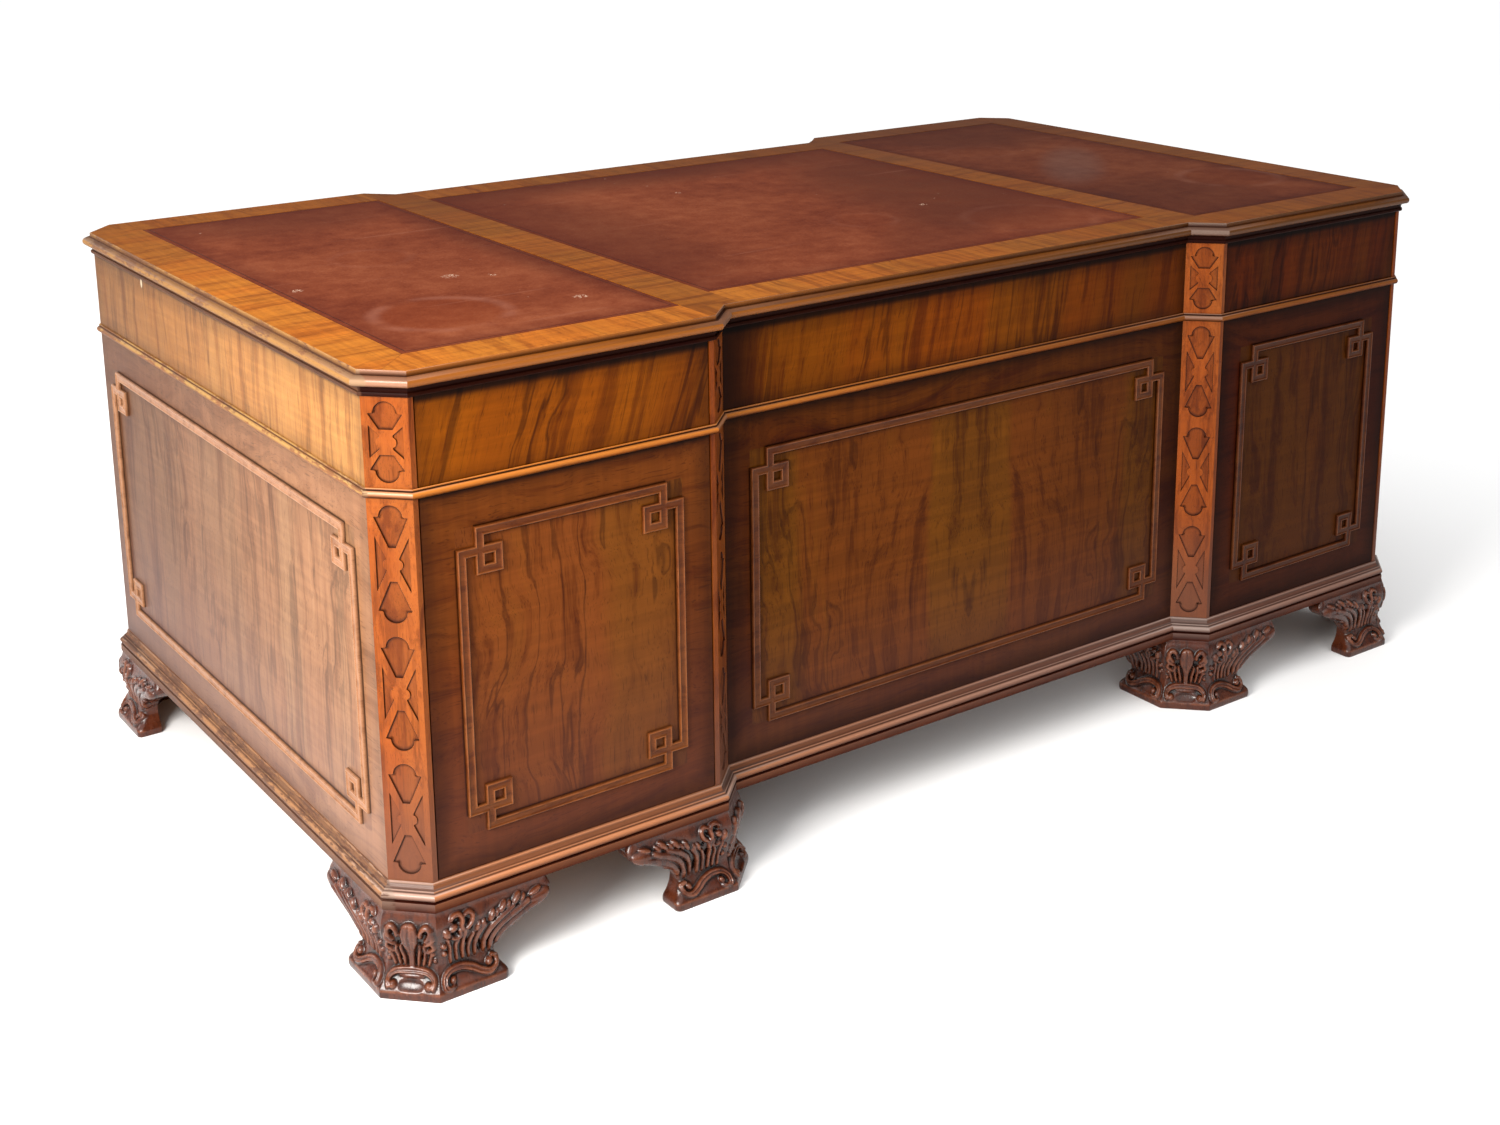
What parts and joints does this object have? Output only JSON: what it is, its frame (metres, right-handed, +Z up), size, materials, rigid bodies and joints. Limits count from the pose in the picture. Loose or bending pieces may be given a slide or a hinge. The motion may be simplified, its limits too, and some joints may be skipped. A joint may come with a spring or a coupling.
{
  "type": "pedestal desk",
  "caption": "Leather-topped walnut pedestal desk with canted fretted posts, key-pattern frames, an astragal waist, moulded plinth, carved ogee bracket feet and sliding drawers.",
  "frame": {"origin": "on the floor, under the middle of the desk", "axes": "+X along the desk, +Y towards the person at the desk, +Z up"},
  "size_m": [1.8802, 1.0664, 0.78],
  "materials": {
    "top_wood": "french polished, cross-banded",
    "leather": "waxed, with a tooled line",
    "frieze_veneer": "french polished veneer",
    "end_frieze_veneer": "french polished veneer",
    "end_veneer": "french polished veneer",
    "front_veneer": "french polished veneer",
    "centre_veneer": "french polished figured veneer",
    "inner_veneer": "french polished",
    "frame_wood": "satin",
    "waist_wood": "french polished, worn",
    "key_wood": "french polished, worn",
    "plinth_wood": "french polished, worn",
    "post_wood": "french polished",
    "carved_wood": "dark polish, worn on the high parts",
    "drawer_wood": "french polished",
    "brass": "aged, satin"
  },
  "bodies": {
    "desk": {"top_board": "top_wood", "leather_left": "leather", "frieze_front_left": "frieze_veneer", "leather_centre": "leather", "frieze_front_centre": "frieze_veneer", "leather_right": "leather", "frieze_front_right": "frieze_veneer", "frieze_end_left": "end_frieze_veneer", "end_panel_left": "end_veneer", "front_panel_left": "front_veneer", "kneehole_side_left": "inner_veneer", "drawer_frame_left": "frame_wood", "frieze_end_right": "end_frieze_veneer", "end_panel_right": "end_veneer", "front_panel_right": "front_veneer", "kneehole_side_right": "inner_veneer", "drawer_frame_right": "frame_wood", "modesty_panel": "centre_veneer", "frieze_drawer_frame": "frame_wood", "waist_moulding": "waist_wood", "key_frame_left": "key_wood", "key_frame_right": "key_wood", "key_frame_centre": "key_wood", "key_frame_left_end": "key_wood", "key_frame_right_end": "key_wood", "plinth": "plinth_wood", "post_left_outer_front": "post_wood", "foot_left_outer_front": "carved_wood", "post_left_outer_back": "post_wood", "foot_left_outer_back": "carved_wood", "post_left_inner_front": "post_wood", "foot_left_inner_front": "carved_wood", "post_left_inner_back": "post_wood", "foot_left_inner_back": "carved_wood", "post_right_outer_front": "post_wood", "foot_right_outer_front": "carved_wood", "post_right_outer_back": "post_wood", "foot_right_outer_back": "carved_wood", "post_right_inner_front": "post_wood", "foot_right_inner_front": "carved_wood", "post_right_inner_back": "post_wood", "foot_right_inner_back": "carved_wood"},
    "frieze_drawer_centre": {"frieze_drawer_centre": "drawer_wood", "knob_frieze_centre_left": "brass", "knob_frieze_centre_right": "brass"},
    "frieze_drawer_left": {"frieze_drawer_left": "drawer_wood", "knob_frieze_left": "brass"},
    "drawer_left_top": {"drawer_left_top": "drawer_wood", "knob_left_top": "brass"},
    "drawer_left_middle": {"drawer_left_middle": "drawer_wood", "knob_left_middle": "brass"},
    "drawer_left_bottom": {"drawer_left_bottom": "drawer_wood", "knob_left_bottom": "brass"},
    "frieze_drawer_right": {"frieze_drawer_right": "drawer_wood", "knob_frieze_right": "brass"},
    "drawer_right_top": {"drawer_right_top": "drawer_wood", "knob_right_top": "brass"},
    "drawer_right_file": {"drawer_right_file": "drawer_wood", "knob_right_file": "brass"}
  },
  "joints": [
    {"name": "frieze_drawer_centre_slide", "type": "slide", "parent": "desk", "child": "frieze_drawer_centre", "axis": [0, 1, 0], "range_m": [0, 0.4]},
    {"name": "frieze_drawer_left_slide", "type": "slide", "parent": "desk", "child": "frieze_drawer_left", "axis": [0, 1, 0], "range_m": [0, 0.4]},
    {"name": "drawer_left_top_slide", "type": "slide", "parent": "desk", "child": "drawer_left_top", "axis": [0, 1, 0], "range_m": [0, 0.4]},
    {"name": "drawer_left_middle_slide", "type": "slide", "parent": "desk", "child": "drawer_left_middle", "axis": [0, 1, 0], "range_m": [0, 0.4]},
    {"name": "drawer_left_bottom_slide", "type": "slide", "parent": "desk", "child": "drawer_left_bottom", "axis": [0, 1, 0], "range_m": [0, 0.4]},
    {"name": "frieze_drawer_right_slide", "type": "slide", "parent": "desk", "child": "frieze_drawer_right", "axis": [0, 1, 0], "range_m": [0, 0.4]},
    {"name": "drawer_right_top_slide", "type": "slide", "parent": "desk", "child": "drawer_right_top", "axis": [0, 1, 0], "range_m": [0, 0.4]},
    {"name": "drawer_right_file_slide", "type": "slide", "parent": "desk", "child": "drawer_right_file", "axis": [0, 1, 0], "range_m": [0, 0.4]}
  ]
}
